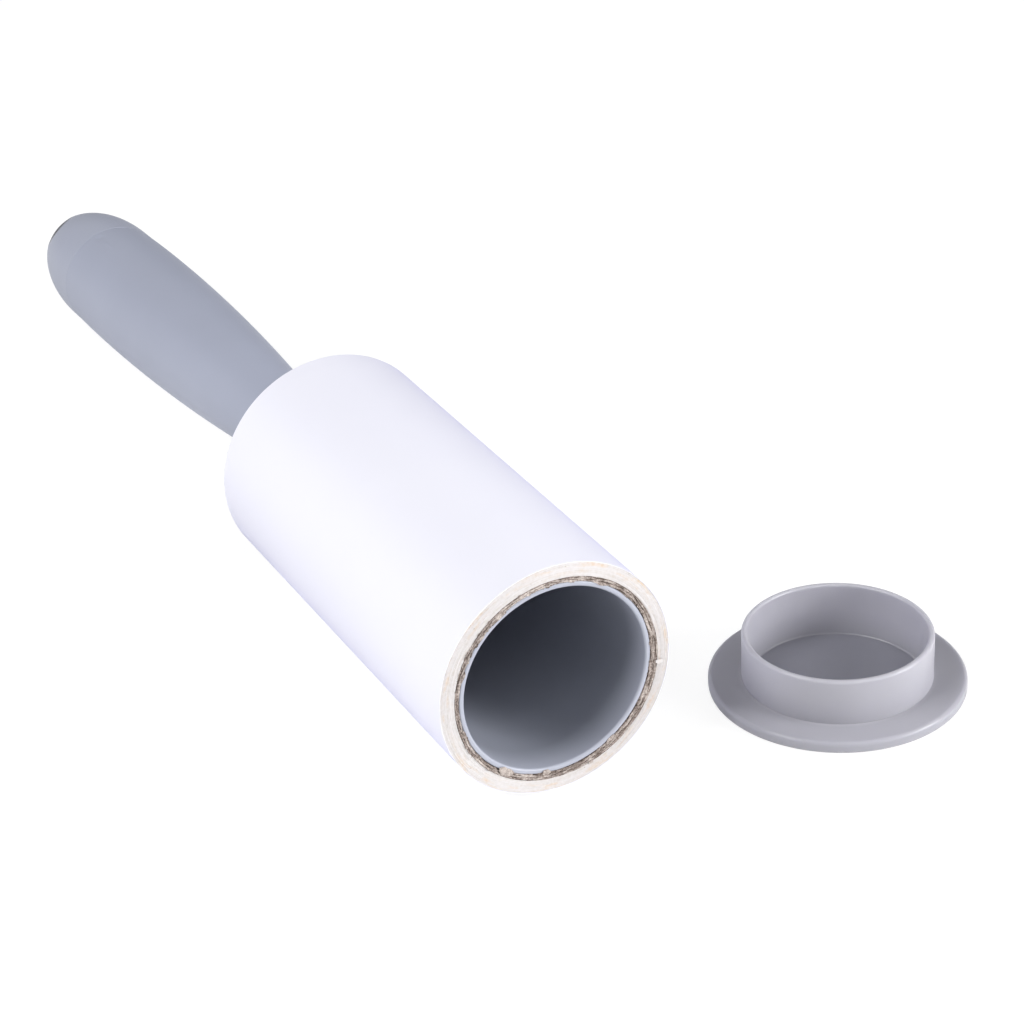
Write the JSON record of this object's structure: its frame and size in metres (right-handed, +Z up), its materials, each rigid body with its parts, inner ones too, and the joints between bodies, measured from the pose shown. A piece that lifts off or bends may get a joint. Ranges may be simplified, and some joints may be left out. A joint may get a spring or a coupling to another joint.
{
  "type": "lint roller",
  "caption": "Lint roller: soft grey grip on a free-turning open barrel that carries a refill of wound adhesive sheets, with its plug-in end cap lying beside it.",
  "frame": {"origin": "centre of the barrel's open mouth", "axes": "+Y along the barrel towards the handle, +Z up with the roller lying on a table, +X towards the end cap that lies beside it"},
  "size_m": [0.1121, 0.2804, 0.0474],
  "materials": {
    "grip_soft": "soft satin moulding, grey-blue",
    "handle_plastic": "satin moulding, grey-blue",
    "barrel_plastic": "smooth moulding, grey-blue",
    "cap_plastic": "smooth, slightly translucent moulding, grey-lilac",
    "bush_plastic": "natural white bearing plastic",
    "steel": "turned steel",
    "sheet_paper": "smooth white, tacky outside",
    "sheet_layers": "white outside, cream cut edges",
    "cardboard": "rough brown-grey board"
  },
  "bodies": {
    "handle": {"handle_core": "handle_plastic", "grip_sleeve": "grip_soft", "tail_plug": "handle_plastic", "axle": "steel", "thrust_washer": "bush_plastic", "end_washer": "steel", "axle_clip": "steel"},
    "barrel": {"roller_barrel": "barrel_plastic", "front_hub": "barrel_plastic", "rear_hub": "barrel_plastic", "front_bush": "bush_plastic", "rear_bush": "bush_plastic"},
    "refill": {"cardboard_core": "cardboard", "sheet_roll": "sheet_layers", "outer_sheet": "sheet_paper"},
    "cap": {"end_cap": "cap_plastic"}
  },
  "joints": [
    {"name": "barrel_spin", "type": "hinge", "parent": "handle", "child": "barrel", "pos_m": [0, 0.1, 0], "axis": [0, 1, 0], "continuous": true},
    {"name": "refill_slide", "type": "slide", "parent": "barrel", "child": "refill", "axis": [0, -1, 0], "range_m": [0, 0.105]},
    {"name": "cap_lift", "type": "slide", "parent": "handle", "child": "cap", "axis": [0, 0, 1], "range_m": [0, 0.06]}
  ]
}
